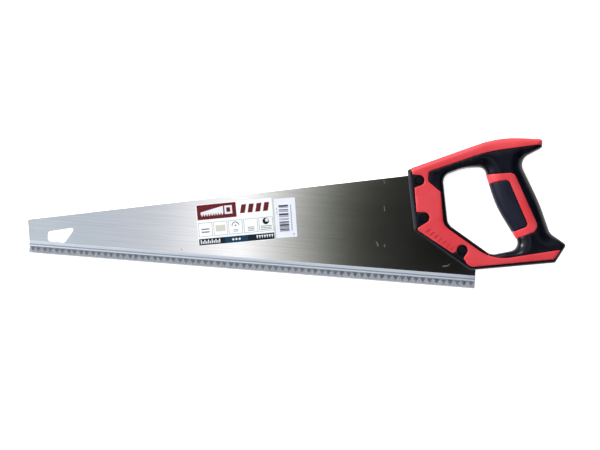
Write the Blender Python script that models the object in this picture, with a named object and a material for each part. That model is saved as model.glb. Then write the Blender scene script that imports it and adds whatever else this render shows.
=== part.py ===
"""Panel saw with a 500 mm tooth line, seven teeth in two inches.

A plain steel blade is clamped by three barrel screws in a closed two-colour handle: a hard
black core with soft overmoulded cheeks, grip band and finger pad. A clip-on plastic channel
covers the teeth, and two films are stuck on the upper face of the blade.

The saw lies flat. X runs along the tooth line towards the handle, Y from the teeth towards
the spine and Z through the blade, whose middle plane is Z = 0 in the plans below. Plan
sizes are millimetres. X is measured from the heel end of the tooth line, Y from a datum
just below the tooth tips. An empty moves the finished saw so that the world's origin is the
bottom centre of its box.
"""

import math

import bpy
from mathutils import Vector
from mathutils.geometry import delaunay_2d_cdt

MM = 0.001

# Fits
CLEARANCE = 0.3
SKIN_CLEARANCE = 0.6
FILM_GAP = 0.1

# Blade
INCH = 25.4
TEETH_PER_INCH = 3.5
TOOTH_COUNT = 69
TOOTH_DEPTH = 5.7
TOOTH_SET = 0.4
TIP_Y = 1.5
BLADE_THICKNESS = 1.0
TOE_HEIGHT = 35.3
TOE_LEAN = 4.6
TOE_RADIUS = 2.0
SPINE_Y_AT_HANDLE = 114.0
TANG_REACH = 50.0
TANG_CORNER_RADIUS = 5.0

# Tooth guard
GUARD_HEIGHT = 13.8
GUARD_WALL = 0.9
GUARD_OVERHANG = 0.3
GUARD_TIP_GAP = 1.3
GUARD_LIP_HEIGHT = 3.4
GUARD_GROOVE_WIDTH = 0.9
GUARD_GROOVE_DEPTH = 0.45
GUARD_CHAMFER = 0.6

# Handle
HANDLE_HALF_THICKNESS = 14.0
CHEEK_EDGE_RADIUS = 5.0
GRIP_EDGE_WIDTH = 15.0
GRIP_PARTING_HALF_HEIGHT = 1.6
OVERMOULD_DEPTH = 1.9
OVERMOULD_PROUD = 0.4

# Barrel screws
SCREW_HEAD_RADIUS = 3.7
SCREW_HEAD_HEIGHT = 2.4
SCREW_HEAD_CHAMFER = 0.5
SCREW_HEAD_SINK = 0.6
SCREW_SHANK_RADIUS = 1.5
SHANK_END_GAP = 2.0
BARREL_RADIUS = 2.5
BARREL_END_GAP = 1.6
SOCKET_RADIUS = 1.7
SOCKET_DEPTH = 1.4
ISLAND_RIM = 1.4

# Films on the blade
FILM_THICKNESS = 0.2
FILM_CORNER_RADIUS = 1.0
MAIN_LABEL_SIZE = (86.0, 46.0)
MAIN_LABEL_CENTRE = (-263.4, 51.1)
MAIN_LABEL_TILT = 9.4
BARCODE_LABEL_SIZE = (23.4, 43.0)
BARCODE_LABEL_CENTRE = (-207.5, 59.9)
BARCODE_LABEL_TILT = 8.0

# Mesh fineness
ARC_STEP = math.radians(22.5)
PLAN_STEP = 15.0
EDGE_RINGS = 4
RING_TOLERANCE = 0.97
POINT_SPACING = 0.6
STRAIGHT_TURN = 0.001
ROUND_SIDES = 20

# Handle plans: corners as (x, y, fillet radius)
HANDLE_CORNERS = [
    (-78.9, 119.8, 3.0),
    (13.0, 159.4, 150.0),
    (57.8, 160.1, 3.0),
    (58.7, 151.8, 2.5),
    (35.8, 138.0, 12.0),
    (60.3, 94.4, 200.0),
    (73.3, 63.2, 12.0),
    (90.0, 52.5, 3.0),
    (79.9, 33.3, 2.5),
    (-5.7, 18.7, 10.0),
    (-67.1, 56.3, 2.5),
]
OPENING_CORNERS = [
    (-41.6, 116.3, 10.0),
    (-18.9, 126.8, 60.0),
    (1.1, 127.8, 7.5),
    (16.2, 88.3, 120.0),
    (46.6, 45.4, 9.0),
    (14.8, 36.1, 12.0),
    (-32.3, 65.2, 12.0),
]
SCREW_CENTRES = [(-65.4, 109.1), (-57.4, 70.2), (-15.4, 39.1)]
GRIP_AXIS = ((22.0, 124.0), (50.0, 68.0))
GRIP_BLEND = (20.0, 38.0)
BAND_CORNERS = [
    (-6.0, 118.6, 0.0),
    (31.8, 123.4, 6.0),
    (61.7, 66.0, 8.0),
    (28.0, 49.8, 0.0),
]
PAD_CORNERS = [
    (-2.0, 108.1, 0.0),
    (26.4, 115.7, 5.0),
    (49.8, 69.4, 3.5),
    (28.0, 58.5, 0.0),
]
HANG_HOLE_CORNERS = [
    (21.3, 14.0, 3.5),
    (41.8, 14.0, 4.0),
    (53.0, 31.9, 2.0),
    (20.9, 25.0, 3.0),
]

TOOTH_PITCH = INCH / TEETH_PER_INCH
TOE_X = -TOOTH_COUNT * TOOTH_PITCH
GULLET_Y = TIP_Y + TOOTH_DEPTH
HALF_BLADE = BLADE_THICKNESS / 2
GRIP_EDGE_HEIGHT = HANDLE_HALF_THICKNESS - GRIP_PARTING_HALF_HEIGHT
SCREW_TOP = HANDLE_HALF_THICKNESS - SCREW_HEAD_SINK
SCREW_SEAT = SCREW_TOP - SCREW_HEAD_HEIGHT
ISLAND_RADIUS = SCREW_HEAD_RADIUS + CLEARANCE + ISLAND_RIM + CLEARANCE
REACH = HANDLE_HALF_THICKNESS + 5.0


# ---------------------------------------------------------------- scene and materials

def clear_scene():
    for item in list(bpy.data.objects):
        bpy.data.objects.remove(item)


def make_material(name, colour, roughness, metallic=0.0, alpha=1.0):
    material = bpy.data.materials.new(name)
    material.use_nodes = True
    shader = material.node_tree.nodes["Principled BSDF"]
    shader.inputs["Base Color"].default_value = (*colour, 1.0)
    shader.inputs["Roughness"].default_value = roughness
    shader.inputs["Metallic"].default_value = metallic
    shader.inputs["Alpha"].default_value = alpha
    material.diffuse_color = (*colour, alpha)
    return material


def make_object(name, vertices, faces, material):
    """An object from plan-frame millimetres, written in metres."""
    mesh = bpy.data.meshes.new(name)
    mesh.from_pydata([(x * MM, y * MM, z * MM) for x, y, z in vertices], [], faces)
    mesh.validate()
    mesh.materials.append(material)
    mesh.shade_smooth()
    mesh.set_sharp_from_angle(angle=math.radians(35))
    item = bpy.data.objects.new(name, mesh)
    bpy.context.scene.collection.objects.link(item)
    return item


def as_tool(item):
    """A shape that only cuts or adds to another one."""
    item.hide_render = True
    item.display_type = "WIRE"
    return item


def combine(item, operation, tool):
    modifier = item.modifiers.new(tool.name, "BOOLEAN")
    modifier.operation = operation
    modifier.solver = "EXACT"
    modifier.object = as_tool(tool)


# ---------------------------------------------------------------- plan outlines

def counter_clockwise(corners):
    following = corners[1:] + corners[:1]
    area = sum(a[0] * b[1] - b[0] * a[1] for a, b in zip(corners, following))
    return corners if area > 0 else corners[::-1]


def grow(corners, distance):
    """The outline with every side moved outwards, and its fillets kept concentric."""
    corners = counter_clockwise(corners)
    moved = []
    for index, (x, y, radius) in enumerate(corners):
        before = corners[index - 1]
        after = corners[(index + 1) % len(corners)]
        side_in = Vector((x - before[0], y - before[1])).normalized()
        side_out = Vector((after[0] - x, after[1] - y)).normalized()
        normal_in = Vector((side_in.y, -side_in.x))
        normal_out = Vector((side_out.y, -side_out.x))
        shift = (normal_in + normal_out) * distance / (1.0 + normal_in.dot(normal_out))
        turn = distance if side_in.cross(side_out) > 0 else -distance
        moved.append((x + shift.x, y + shift.y, max(radius + turn, 0.0) if radius else 0.0))
    return moved


def rounded(corners, side_step=None):
    """The outline's points, counter-clockwise, with an arc at each filleted corner."""
    corners = counter_clockwise(corners)
    points = []
    for index, (x, y, radius) in enumerate(corners):
        before = corners[index - 1]
        after = corners[(index + 1) % len(corners)]
        to_before = Vector((before[0] - x, before[1] - y))
        to_after = Vector((after[0] - x, after[1] - y))
        half_turn = (math.pi - to_before.angle(to_after)) / 2
        if radius == 0.0 or half_turn < STRAIGHT_TURN:
            points.append(Vector((x, y)))
            continue
        reach = min(to_before.length, to_after.length) * 0.49
        radius = min(radius, reach / math.tan(half_turn))
        start = Vector((x, y)) + to_before.normalized() * radius * math.tan(half_turn)
        bisector = (to_before.normalized() + to_after.normalized()).normalized()
        centre = Vector((x, y)) + bisector * radius / math.cos(half_turn)
        steps = max(2, math.ceil(2 * half_turn / ARC_STEP))
        sweep = 2 * half_turn * (1 if to_before.cross(to_after) < 0 else -1)
        spoke = start - centre
        for step in range(steps + 1):
            angle = sweep * step / steps
            cosine, sine = math.cos(angle), math.sin(angle)
            points.append(centre + Vector((
                spoke.x * cosine - spoke.y * sine,
                spoke.x * sine + spoke.y * cosine,
            )))
    return divided(points, side_step) if side_step else points


def divided(points, side_step):
    """The same closed outline with no side longer than side_step."""
    result = []
    for index, point in enumerate(points):
        following = points[(index + 1) % len(points)]
        parts = max(1, math.ceil((following - point).length / side_step))
        result += [point.lerp(following, part / parts) for part in range(parts)]
    return result


def arc_corners(centre, radius, start_degrees, end_degrees):
    """Unfilleted corners along an arc round a screw."""
    steps = max(2, math.ceil(math.radians(abs(end_degrees - start_degrees)) / ARC_STEP))
    corners = []
    for step in range(steps + 1):
        angle = math.radians(start_degrees + (end_degrees - start_degrees) * step / steps)
        corners.append((
            centre[0] + radius * math.cos(angle),
            centre[1] + radius * math.sin(angle),
            0.0,
        ))
    return corners


def rectangle(size, centre, tilt_degrees):
    tilt = math.radians(tilt_degrees)
    corners = []
    for across, up in ((-0.5, -0.5), (0.5, -0.5), (0.5, 0.5), (-0.5, 0.5)):
        x, y = across * size[0], up * size[1]
        corners.append((
            centre[0] + x * math.cos(tilt) - y * math.sin(tilt),
            centre[1] + x * math.sin(tilt) + y * math.cos(tilt),
            FILM_CORNER_RADIUS,
        ))
    return corners


def inside(point, outline):
    hits = False
    for index, a in enumerate(outline):
        b = outline[index - 1]
        if (a.y > point.y) != (b.y > point.y):
            if point.x < (b.x - a.x) * (point.y - a.y) / (b.y - a.y) + a.x:
                hits = not hits
    return hits


def distance_to(point, outline):
    nearest = math.inf
    for index, a in enumerate(outline):
        side = outline[index - 1] - a
        share = (point - a).dot(side) / side.length_squared
        foot = a + side * min(max(share, 0.0), 1.0)
        nearest = min(nearest, (point - foot).length)
    return nearest


# ---------------------------------------------------------------- solids from plans

def plan_solid(name, outline, openings, inner_points, low, high, material):
    """A closed solid over a plan; low and high give its faces' heights at a point."""
    loops = [outline] + [opening[::-1] for opening in openings]
    corners = []
    indices = []
    for loop in loops:
        indices.append(list(range(len(corners), len(corners) + len(loop))))
        corners += loop
    found = delaunay_2d_cdt(corners + inner_points, [], indices, 2, 1e-5)
    points, triangles = found[0], found[2]
    count = len(points)
    vertices = [(p.x, p.y, low(p)) for p in points] + [(p.x, p.y, high(p)) for p in points]
    faces = [(a + count, b + count, c + count) for a, b, c in triangles]
    faces += [(c, b, a) for a, b, c in triangles]
    for loop in indices:
        for a, b in zip(loop, loop[1:] + loop[:1]):
            faces.append((a, b, b + count, a + count))
    return make_object(name, vertices, faces, material)


def plate(name, outline, openings, low, high, material):
    return plan_solid(name, outline, openings, [], lambda p: low, lambda p: high, material)


def turned(name, profile, centre, material):
    """A solid of revolution about a Z axis; profile is (radius, z) from the low pole up."""
    vertices = []
    rings = []
    for radius, z in profile:
        if radius == 0.0:
            rings.append([len(vertices)] * ROUND_SIDES)
            vertices.append((centre[0], centre[1], z))
            continue
        rings.append(list(range(len(vertices), len(vertices) + ROUND_SIDES)))
        for side in range(ROUND_SIDES):
            angle = 2 * math.pi * side / ROUND_SIDES
            x = centre[0] + radius * math.cos(angle)
            y = centre[1] + radius * math.sin(angle)
            vertices.append((x, y, z))
    faces = []
    for low, high in zip(rings, rings[1:]):
        for side in range(ROUND_SIDES):
            after = (side + 1) % ROUND_SIDES
            corners = (low[side], low[after], high[after], high[side])
            faces.append(tuple(dict.fromkeys(corners)))
    return make_object(name, vertices, faces, material)


def extruded_along_x(name, profile, x_start, x_end, material):
    """A prism along X from a counter-clockwise (y, z) profile."""
    count = len(profile)
    vertices = [(x_start, y, z) for y, z in profile] + [(x_end, y, z) for y, z in profile]
    flat = [Vector(point) for point in profile]
    sides = [(k, (k + 1) % count) for k in range(count)]
    triangles = delaunay_2d_cdt(flat, sides, [], 1, 1e-5)[2]
    faces = [(a + count, b + count, c + count) for a, b, c in triangles]
    faces += [(c, b, a) for a, b, c in triangles]
    faces += [(a, b, b + count, a + count) for a, b in sides]
    return make_object(name, vertices, faces, material)


# ---------------------------------------------------------------- blade and guard

def spine_y(x):
    """Height of the straight spine, from the toe to where the handle's front meets it."""
    toe = (TOE_X - TOE_LEAN, TIP_Y + TOE_HEIGHT)
    front_x = HANDLE_CORNERS[0][0]
    slope = (SPINE_Y_AT_HANDLE - toe[1]) / (front_x - toe[0])
    return toe[1] + slope * (x - toe[0])


def tang_corners():
    """The blade's end inside the handle, parallel to the hand opening and clear of it."""
    low, left = Vector(OPENING_CORNERS[5][:2]), Vector(OPENING_CORNERS[6][:2])
    along = (low - left).normalized()
    start = left + Vector((along.y, -along.x)) * (CHEEK_EDGE_RADIUS + OVERMOULD_DEPTH)

    def diagonal_y(x):
        return start.y + (x - start.x) * along.y / along.x

    return [
        (0.0, diagonal_y(0.0), TANG_CORNER_RADIUS),
        (-TANG_REACH, diagonal_y(-TANG_REACH), TANG_CORNER_RADIUS),
        (-TANG_REACH, spine_y(-TANG_REACH), TANG_CORNER_RADIUS),
    ]


def blade_body_corners():
    return [
        (TOE_X, GULLET_Y, 0.0),
        (0.0, GULLET_Y, 0.0),
        *tang_corners(),
        (TOE_X - TOE_LEAN, TIP_Y + TOE_HEIGHT, TOE_RADIUS),
    ]


def blade_outline():
    """The body's outline with the teeth in place of its straight lower side."""
    teeth = []
    for tooth in range(TOOTH_COUNT):
        teeth.append(Vector((TOE_X + (tooth + 0.5) * TOOTH_PITCH, TIP_Y)))
        teeth.append(Vector((TOE_X + (tooth + 1) * TOOTH_PITCH, GULLET_Y)))
    body = rounded(blade_body_corners())
    return [body[0]] + teeth + body[2:]


def circle(centre, radius):
    points = []
    for side in range(ROUND_SIDES):
        angle = 2 * math.pi * side / ROUND_SIDES
        points.append(Vector((
            centre[0] + radius * math.cos(angle),
            centre[1] + radius * math.sin(angle),
        )))
    return points


def build_blade(steel):
    hang_hole = rounded([(TOE_X + x, y, radius) for x, y, radius in HANG_HOLE_CORNERS])
    openings = [hang_hole]
    openings += [circle(centre, BARREL_RADIUS + CLEARANCE) for centre in SCREW_CENTRES]
    return plate("blade", blade_outline(), openings, -HALF_BLADE, HALF_BLADE, steel)


def build_tooth_guard(plastic):
    """A channel with a wide hollow round the set teeth and a narrow lip on the blade."""
    lip = HALF_BLADE + CLEARANCE
    hollow = lip + TOOTH_SET
    lip_face = lip + GUARD_WALL
    outer = hollow + GUARD_WALL
    floor_y = TIP_Y - GUARD_TIP_GAP
    bottom_y = floor_y - GUARD_WALL
    top_y = bottom_y + GUARD_HEIGHT
    groove_top_y = top_y - GUARD_LIP_HEIGHT
    groove_y = groove_top_y - GUARD_GROOVE_WIDTH
    hollow_y = GULLET_Y + 2 * CLEARANCE
    half = [
        (bottom_y, outer - GUARD_CHAMFER),
        (bottom_y + GUARD_CHAMFER, outer),
        (hollow_y, outer),
        (hollow_y + TOOTH_SET, lip_face),
        (groove_y, lip_face),
        (groove_y, lip_face - GUARD_GROOVE_DEPTH),
        (groove_top_y, lip_face - GUARD_GROOVE_DEPTH),
        (groove_top_y, lip_face),
        (top_y, lip_face),
        (top_y, hollow),
        (top_y - TOOTH_SET, lip),
        (hollow_y + TOOTH_SET, lip),
        (hollow_y, hollow),
        (floor_y, hollow),
    ]
    profile = [(y, -z) for y, z in half] + half[::-1]
    x_start = TOE_X - GUARD_OVERHANG
    return extruded_along_x("tooth_guard", profile, x_start, GUARD_OVERHANG, plastic)


# ---------------------------------------------------------------- handle

def grip_share(point):
    """One on the round grip, nought on the flat cheeks, smooth between them."""
    start, end = Vector(GRIP_AXIS[0]), Vector(GRIP_AXIS[1])
    along = (point - start).dot(end - start) / (end - start).length_squared
    foot = start.lerp(end, min(max(along, 0.0), 1.0))
    near, far = GRIP_BLEND
    share = min(max(((point - foot).length - near) / (far - near), 0.0), 1.0)
    return 1.0 - share * share * (3.0 - 2.0 * share)


def edge_size(point, depth):
    """Width and height of the rounded edge near a point, for a shell depth below."""
    share = grip_share(point)
    width = CHEEK_EDGE_RADIUS + (GRIP_EDGE_WIDTH - CHEEK_EDGE_RADIUS) * share
    height = CHEEK_EDGE_RADIUS + (GRIP_EDGE_HEIGHT - CHEEK_EDGE_RADIUS) * share
    return width - depth, height - depth


def handle_form(name, depth, material):
    """The whole handle's rounded form, moved inwards by depth."""
    outline = rounded(grow(HANDLE_CORNERS, -depth), PLAN_STEP)
    opening = rounded(grow(OPENING_CORNERS, depth), PLAN_STEP)

    def edge_distance(point):
        return min(distance_to(point, outline), distance_to(point, opening))

    def half_height(point):
        width, height = edge_size(point, depth)
        share = min(edge_distance(point) / width, 1.0)
        rise = math.sqrt(max(0.0, 1.0 - (1.0 - share) ** 2))
        return HANDLE_HALF_THICKNESS - depth - height * (1.0 - rise)

    def inset(point, ring):
        angle = 0.5 * math.pi * ring / EDGE_RINGS
        return edge_size(point, depth)[0] * (1.0 - math.cos(angle))

    places = []
    for ring in range(1, EDGE_RINGS + 1):
        for loop, inward in ((outline, 1.0), (opening, -1.0)):
            for index, point in enumerate(loop):
                along = (loop[(index + 1) % len(loop)] - loop[index - 1]).normalized()
                reach = inset(point, ring)
                places.append((point + Vector((-along.y, along.x)) * inward * reach, reach))
        for index, corner in enumerate(counter_clockwise(HANDLE_CORNERS)):
            reach = inset(Vector(corner[:2]), ring)
            mitre = grow(HANDLE_CORNERS, -depth - reach)[index]
            places.append((Vector(mitre[:2]), reach))
    rings = []
    for place, reach in places:
        held = inside(place, outline) and not inside(place, opening)
        if held and edge_distance(place) > RING_TOLERANCE * reach:
            rings.append(place)
    return plan_solid(
        name, outline, [opening], thinned(rings),
        lambda point: -half_height(point), half_height, material,
    )


def thinned(points):
    """The points without those that nearly coincide."""
    kept = []
    for point in points:
        if all((point - other).length > POINT_SPACING for other in kept):
            kept.append(point)
    return kept


def cheek_corners():
    """Plan of the soft cheek: panel, top strip to the horn, and the stripe to the foot."""
    first, second, third = SCREW_CENTRES
    return [
        (66.0, 156.2, 0.0),
        (5.0, 144.3, 150.0),
        (-56.2, 119.0, 4.0),
        (-55.8, 108.8, 4.0),
        (-42.1, 98.6, 2.5),
        (-36.5, 63.6, 14.0),
        (16.8, 31.0, 45.0),
        (84.8, 47.2, 1.0),
        (78.3, 36.8, 1.0),
        (-7.0, 21.9, 9.0),
        (third[0] + 2.0, third[1] - 8.5, 1.5),
        *arc_corners(third, ISLAND_RADIUS, -40, 200),
        (third[0] - 9.8, third[1] - 3.8, 1.5),
        (-64.8, 57.6, 2.0),
        *arc_corners(second, ISLAND_RADIUS, -50, 95),
        (second[0] - 8.2, second[1] + 5.2, 1.2),
        (first[0] - 4.2, first[1] - 7.8, 1.2),
        *arc_corners(first, ISLAND_RADIUS, -70, 100),
        (first[0] - 7.0, first[1] + 5.6, 1.2),
        (-77.0, 126.0, 0.0),
        (-77.0, 134.0, 0.0),
        (12.0, 172.0, 0.0),
        (66.0, 172.0, 0.0),
    ]


def region_tool(name, corners, material):
    """A tall prism over a plan, for picking a region out of the handle."""
    return plate(name, rounded(corners), [], -REACH, REACH, material)


def build_core(plastic):
    core = handle_form("handle_core", 0.0, plastic)
    cheeks = region_tool("cheek_pocket", grow(cheek_corners(), CLEARANCE), plastic)
    grip = region_tool("grip_pocket", grow(BAND_CORNERS, CLEARANCE), plastic)
    combine(core, "DIFFERENCE", cheeks)
    combine(core, "DIFFERENCE", grip)
    combine(core, "UNION", handle_form("pocket_floor", OVERMOULD_DEPTH, plastic))
    slot_half = HALF_BLADE + CLEARANCE
    slot_plan = rounded(grow(blade_body_corners(), CLEARANCE))
    combine(core, "DIFFERENCE", plate("slot", slot_plan, [], -slot_half, slot_half, plastic))
    for number, centre in enumerate(SCREW_CENTRES, start=1):
        combine(core, "DIFFERENCE", screw_bore(f"screw_bore_{number}", centre, plastic))
    return core


def overmould(name, corners, material):
    """A soft skin over a region of the core, seated on the pocket's floor."""
    skin = handle_form(name, -OVERMOULD_PROUD, material)
    combine(skin, "INTERSECT", region_tool(name + "_region", corners, material))
    floor = handle_form(name + "_floor", OVERMOULD_DEPTH - SKIN_CLEARANCE, material)
    combine(skin, "DIFFERENCE", floor)
    return skin


def build_overmoulds(red, pad_black):
    overmould("cheek_overmould", cheek_corners(), red)
    band = overmould("grip_band", BAND_CORNERS, red)
    window = region_tool("band_window", grow(PAD_CORNERS, CLEARANCE), red)
    combine(band, "DIFFERENCE", window)
    overmould("finger_pad", PAD_CORNERS, pad_black)


# ---------------------------------------------------------------- barrel screws

def screw_bore(name, centre, material):
    """The stepped bore through the handle for one barrel screw."""
    seat = SCREW_SEAT - CLEARANCE
    wide = SCREW_HEAD_RADIUS + CLEARANCE
    narrow = BARREL_RADIUS + CLEARANCE
    profile = [
        (0.0, -REACH), (wide, -REACH), (wide, -seat), (narrow, -seat),
        (narrow, seat), (wide, seat), (wide, REACH), (0.0, REACH),
    ]
    return turned(name, profile, centre, material)


def hex_socket(name, centre, low, high, material):
    points = []
    for side in range(6):
        angle = math.radians(60 * side)
        points.append(Vector((
            centre[0] + SOCKET_RADIUS * math.cos(angle),
            centre[1] + SOCKET_RADIUS * math.sin(angle),
        )))
    return plate(name, points, [], low, high, material)


def build_screw(number, centre, steel):
    shank_end = SHANK_END_GAP - SCREW_SEAT
    profile = [
        (0.0, shank_end),
        (SCREW_SHANK_RADIUS, shank_end),
        (SCREW_SHANK_RADIUS, SCREW_SEAT),
        (SCREW_HEAD_RADIUS, SCREW_SEAT),
        (SCREW_HEAD_RADIUS, SCREW_TOP - SCREW_HEAD_CHAMFER),
        (SCREW_HEAD_RADIUS - SCREW_HEAD_CHAMFER, SCREW_TOP),
        (0.0, SCREW_TOP),
    ]
    screw = turned(f"saw_screw_{number}", profile, centre, steel)
    floor = SCREW_TOP - SOCKET_DEPTH
    socket = hex_socket(f"screw_socket_{number}", centre, floor, floor + REACH, steel)
    combine(screw, "DIFFERENCE", socket)


def build_sleeve_nut(number, centre, steel):
    """The barrel half, whose head sits in the counterbore on the lower side."""
    bore = SCREW_SHANK_RADIUS + CLEARANCE
    bore_end = SHANK_END_GAP - SCREW_SEAT - CLEARANCE
    barrel_end = SCREW_SEAT - BARREL_END_GAP
    profile = [
        (0.0, -SCREW_TOP),
        (SCREW_HEAD_RADIUS - SCREW_HEAD_CHAMFER, -SCREW_TOP),
        (SCREW_HEAD_RADIUS, SCREW_HEAD_CHAMFER - SCREW_TOP),
        (SCREW_HEAD_RADIUS, -SCREW_SEAT),
        (BARREL_RADIUS, -SCREW_SEAT),
        (BARREL_RADIUS, barrel_end),
        (bore, barrel_end),
        (bore, bore_end),
        (0.0, bore_end),
    ]
    nut = turned(f"sleeve_nut_{number}", profile, centre, steel)
    floor = SOCKET_DEPTH - SCREW_TOP
    socket = hex_socket(f"nut_socket_{number}", centre, floor - REACH, floor, steel)
    combine(nut, "DIFFERENCE", socket)


# ---------------------------------------------------------------- films

def build_film(name, size, centre, tilt, material):
    low = HALF_BLADE + FILM_GAP
    plan = rounded(rectangle(size, centre, tilt))
    return plate(name, plan, [], low, low + FILM_THICKNESS, material)


# ---------------------------------------------------------------- assembly

def stand_on_origin():
    """Parent every piece to an empty at the bottom centre of the saw's box."""
    graph = bpy.context.evaluated_depsgraph_get()
    pieces = [item for item in bpy.data.objects if not item.hide_render]
    points = []
    for item in pieces:
        points += [vertex.co.copy() for vertex in item.evaluated_get(graph).data.vertices]
    low = Vector([min(point[axis] for point in points) for axis in range(3)])
    high = Vector([max(point[axis] for point in points) for axis in range(3)])
    frame = bpy.data.objects.new("saw_frame", None)
    bpy.context.scene.collection.objects.link(frame)
    frame.location = (-(low.x + high.x) / 2, -(low.y + high.y) / 2, -low.z)
    for item in bpy.data.objects:
        if item is not frame:
            item.parent = frame


def build_saw():
    clear_scene()
    steel = make_material("blade_steel", (0.55, 0.56, 0.58), 0.28, 1.0)
    screw_steel = make_material("screw_black", (0.02, 0.02, 0.025), 0.35, 0.6)
    core_black = make_material("core_black", (0.012, 0.014, 0.022), 0.42)
    pad_black = make_material("pad_black", (0.018, 0.022, 0.035), 0.6)
    red = make_material("overmould_red", (0.72, 0.05, 0.06), 0.55)
    clear_plastic = make_material("guard_plastic", (0.75, 0.82, 0.90), 0.35, 0.0, 0.6)
    print_film = make_material("label_print", (0.75, 0.76, 0.78), 0.4)
    paper = make_material("barcode_paper", (0.85, 0.85, 0.85), 0.6)

    build_blade(steel)
    build_tooth_guard(clear_plastic)
    build_core(core_black)
    build_overmoulds(red, pad_black)
    for number, centre in enumerate(SCREW_CENTRES, start=1):
        build_screw(number, centre, screw_steel)
        build_sleeve_nut(number, centre, screw_steel)
    build_film("main_label", MAIN_LABEL_SIZE, MAIN_LABEL_CENTRE, MAIN_LABEL_TILT, print_film)
    build_film(
        "barcode_label", BARCODE_LABEL_SIZE, BARCODE_LABEL_CENTRE, BARCODE_LABEL_TILT, paper,
    )
    stand_on_origin()


build_saw()
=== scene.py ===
import cmath
import math
import random

import bpy
import numpy as np
from mathutils import Matrix, Vector
from mathutils.geometry import delaunay_2d_cdt


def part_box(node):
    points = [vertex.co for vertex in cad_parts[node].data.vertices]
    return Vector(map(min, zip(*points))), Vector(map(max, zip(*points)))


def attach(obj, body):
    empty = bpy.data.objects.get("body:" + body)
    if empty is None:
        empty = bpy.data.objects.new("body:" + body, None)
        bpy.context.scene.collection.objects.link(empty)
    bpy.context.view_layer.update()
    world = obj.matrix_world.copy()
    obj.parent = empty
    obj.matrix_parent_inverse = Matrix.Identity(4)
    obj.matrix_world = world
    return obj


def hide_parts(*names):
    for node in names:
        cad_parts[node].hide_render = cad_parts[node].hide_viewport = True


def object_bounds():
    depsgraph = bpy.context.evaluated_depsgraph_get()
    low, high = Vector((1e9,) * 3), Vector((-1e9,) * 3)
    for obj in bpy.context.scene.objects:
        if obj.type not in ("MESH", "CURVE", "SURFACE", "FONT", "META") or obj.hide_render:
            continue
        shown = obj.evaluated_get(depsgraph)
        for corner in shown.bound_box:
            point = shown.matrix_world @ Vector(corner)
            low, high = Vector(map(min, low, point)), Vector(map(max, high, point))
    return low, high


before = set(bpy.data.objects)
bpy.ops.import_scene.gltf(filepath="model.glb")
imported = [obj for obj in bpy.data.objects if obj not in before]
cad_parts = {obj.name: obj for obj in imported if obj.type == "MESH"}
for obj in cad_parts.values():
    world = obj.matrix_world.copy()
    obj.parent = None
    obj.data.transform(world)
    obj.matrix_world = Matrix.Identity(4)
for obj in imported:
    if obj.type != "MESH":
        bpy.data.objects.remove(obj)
CAD_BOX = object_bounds()


# ================ studio
# The saw lies on a white table inside a pale dome, seen from almost straight above. The dome
# is dark near the zenith and to the right and near sides, and bright to the left and far ones.
# Soft panels light the handle, and the table leans a hair to touch both handle and toe.

ORIGIN = (CAD_BOX[0] + CAD_BOX[1]) / 2
CAMERA_PLACE = (-0.0274, 0.0516, 1.0214)
CAMERA_TILT = 0.1588
CAMERA_ROLL = 0.0726
CAMERA_LENS = 57.0

DOME_RANGE = 40.0
DOME_BANDS = [
    (0.0, (0.006, 0.008, 0.007)),
    (1.6, (0.010, 0.011, 0.009)),
    (2.8, (0.018, 0.020, 0.017)),
    (3.9, (0.028, 0.029, 0.024)),
    (5.0, (0.046, 0.048, 0.040)),
    (5.9, (0.082, 0.085, 0.070)),
    (6.8, (0.155, 0.161, 0.130)),
    (7.7, (0.275, 0.288, 0.255)),
    (8.6, (0.470, 0.475, 0.445)),
    (9.3, (0.650, 0.655, 0.620)),
    (10.4, (0.960, 0.950, 0.940)),
    (12.6, (1.680, 1.690, 1.700)),
    (14.6, (1.460, 1.450, 1.480)),
    (15.6, (1.320, 1.330, 1.380)),
    (16.8, (1.060, 1.090, 1.150)),
    (18.2, (0.920, 0.960, 1.060)),
    (20.0, (0.840, 0.900, 1.000)),
    (22.0, (0.790, 0.880, 0.980)),
    (24.5, (0.880, 0.970, 1.060)),
    (32.0, (0.620, 0.660, 0.720)),
    (40.0, (0.520, 0.550, 0.600)),
]
SIDE_SHARES = {
    "X": [(-1.0, 4.0), (-0.7, 3.0), (-0.5, 1.0), (0.05, 1.0), (0.25, 0.45), (0.5, 0.22), (1.0, 0.18)],
    "Y": [(-1.0, 0.25), (-0.5, 0.35), (-0.25, 1.0), (0.3, 1.0), (0.6, 1.5), (1.0, 1.8)],
}
HORIZON_RING = [(0.0, (0.9, 0.9, 0.9)), (0.08, (0.9, 0.9, 0.9)), (0.14, (0.0, 0.0, 0.0))]
PANELS = [
    ("left_panel", 168.0, 18.0, 26.0),
    ("far_panel", 105.0, 42.0, 8.0),
    ("near_panel", -60.0, 30.0, 0.4),
]
PANEL_DISTANCE = 1.6
PANEL_SIZE = 0.45
TABLE_COLOUR = (0.86, 0.86, 0.86)
TABLE_GLOW = 0.9
TABLE_SIZE = 80.0
TABLE_GAP = 0.0003
REST_INSET = 0.005


def add_node(tree, kind, settings=None, **sockets):
    """A node with its own settings and the unlinked values of its sockets."""
    node = tree.nodes.new(kind)
    for name, value in (settings or {}).items():
        setattr(node, name, value)
    for name, value in sockets.items():
        node.inputs[name.replace("_", " ")].default_value = value
    return node


def wire(tree, output, socket):
    tree.links.new(output, socket)


def fed(tree, kind, operation, *values):
    """The result of a node that works on sockets and plain numbers."""
    node = add_node(tree, kind, {"operation": operation})
    for socket, value in zip(node.inputs, values):
        if isinstance(value, float):
            socket.default_value = value
        else:
            wire(tree, value, socket)
    return node.outputs[0]


def put(name, data):
    """A new object in the scene."""
    piece = bpy.data.objects.new(name, data)
    bpy.context.scene.collection.objects.link(piece)
    return piece


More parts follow.
